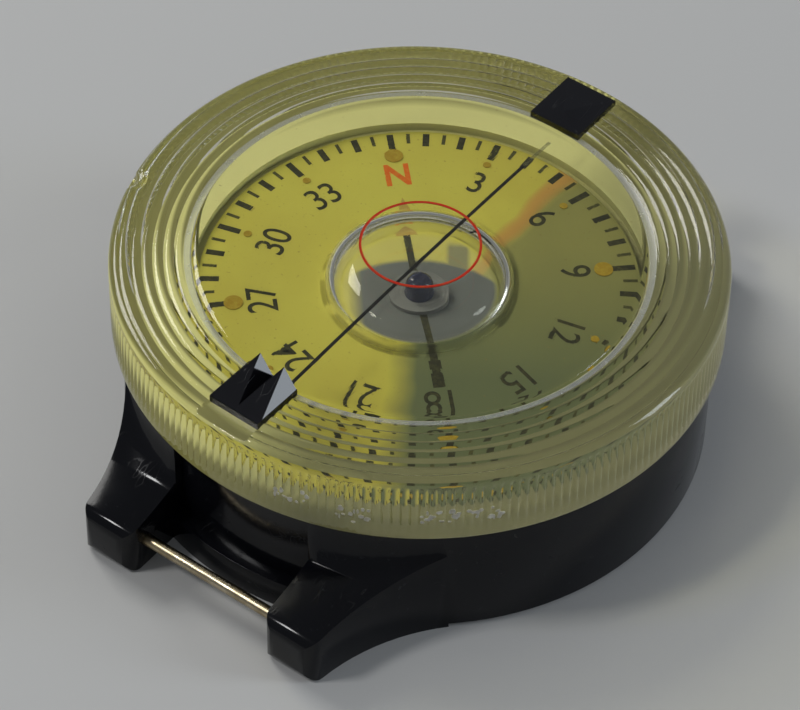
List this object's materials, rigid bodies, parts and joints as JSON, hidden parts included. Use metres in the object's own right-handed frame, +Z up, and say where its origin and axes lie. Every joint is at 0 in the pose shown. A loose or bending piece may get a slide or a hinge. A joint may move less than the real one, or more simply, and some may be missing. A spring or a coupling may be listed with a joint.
{
  "type": "wrist compass",
  "caption": "Liquid-damped wrist compass: black strap case, clear ribbed head that turns with notch and roof sights, floating card with a clear float.",
  "frame": {"origin": "middle of the case's flat underside, on the axis that the head and the card turn about", "axes": "+Z up through the crystal, +Y along the strap and the course line towards the roof sight"},
  "size_m": [0.06, 0.0702, 0.0244],
  "materials": {
    "case_black": "glossy moulded",
    "bar_steel": "tarnished",
    "felt": "felt",
    "cup_cream": "matte",
    "spring_steel": "drawn wire",
    "diaphragm_brass": "rolled",
    "brass": "turned",
    "hard_steel": "polished",
    "rubber": "matte",
    "clear_acrylic": "clear, slightly yellowed",
    "line_black": "paint",
    "ring_red": "paint",
    "sight_black": "glossy",
    "card_cream": "matte printed",
    "magnet_steel": "dark",
    "float_clear": "clear",
    "hub_dark": "darkened",
    "jewel_glass": "polished",
    "lume": "aged compound"
  },
  "bodies": {
    "case": {"case_body": "case_black", "strap_bar_rear": "bar_steel", "strap_bar_front": "bar_steel", "friction_felt": "felt"},
    "head": {"capsule_cup": "cup_cream", "head_snap_ring": "spring_steel", "expansion_diaphragm": "diaphragm_brass", "diaphragm_ring": "brass", "pivot_bridge": "brass", "bridge_screws": "brass", "pivot_post": "hard_steel", "filler_plug": "brass", "filler_washer": "rubber", "bezel_ring": "clear_acrylic", "crystal": "clear_acrylic", "course_line": "line_black", "center_ring": "ring_red", "rear_sight": "sight_black", "front_sight": "sight_black"},
    "card": {"dial_card": "card_cream", "magnet_left": "magnet_steel", "magnet_right": "magnet_steel", "float_dome": "float_clear", "jewel_cup": "hub_dark", "jewel": "jewel_glass", "luminous_dots": "lume"}
  },
  "joints": [
    {"name": "head_turn", "type": "hinge", "parent": "case", "child": "head", "pos_m": [0, 0, 0.0138], "axis": [0, 0, 1], "continuous": true},
    {"name": "card_turn", "type": "hinge", "parent": "head", "child": "card", "pos_m": [0, 0, 0.01335], "axis": [0, 0, 1], "continuous": true}
  ]
}
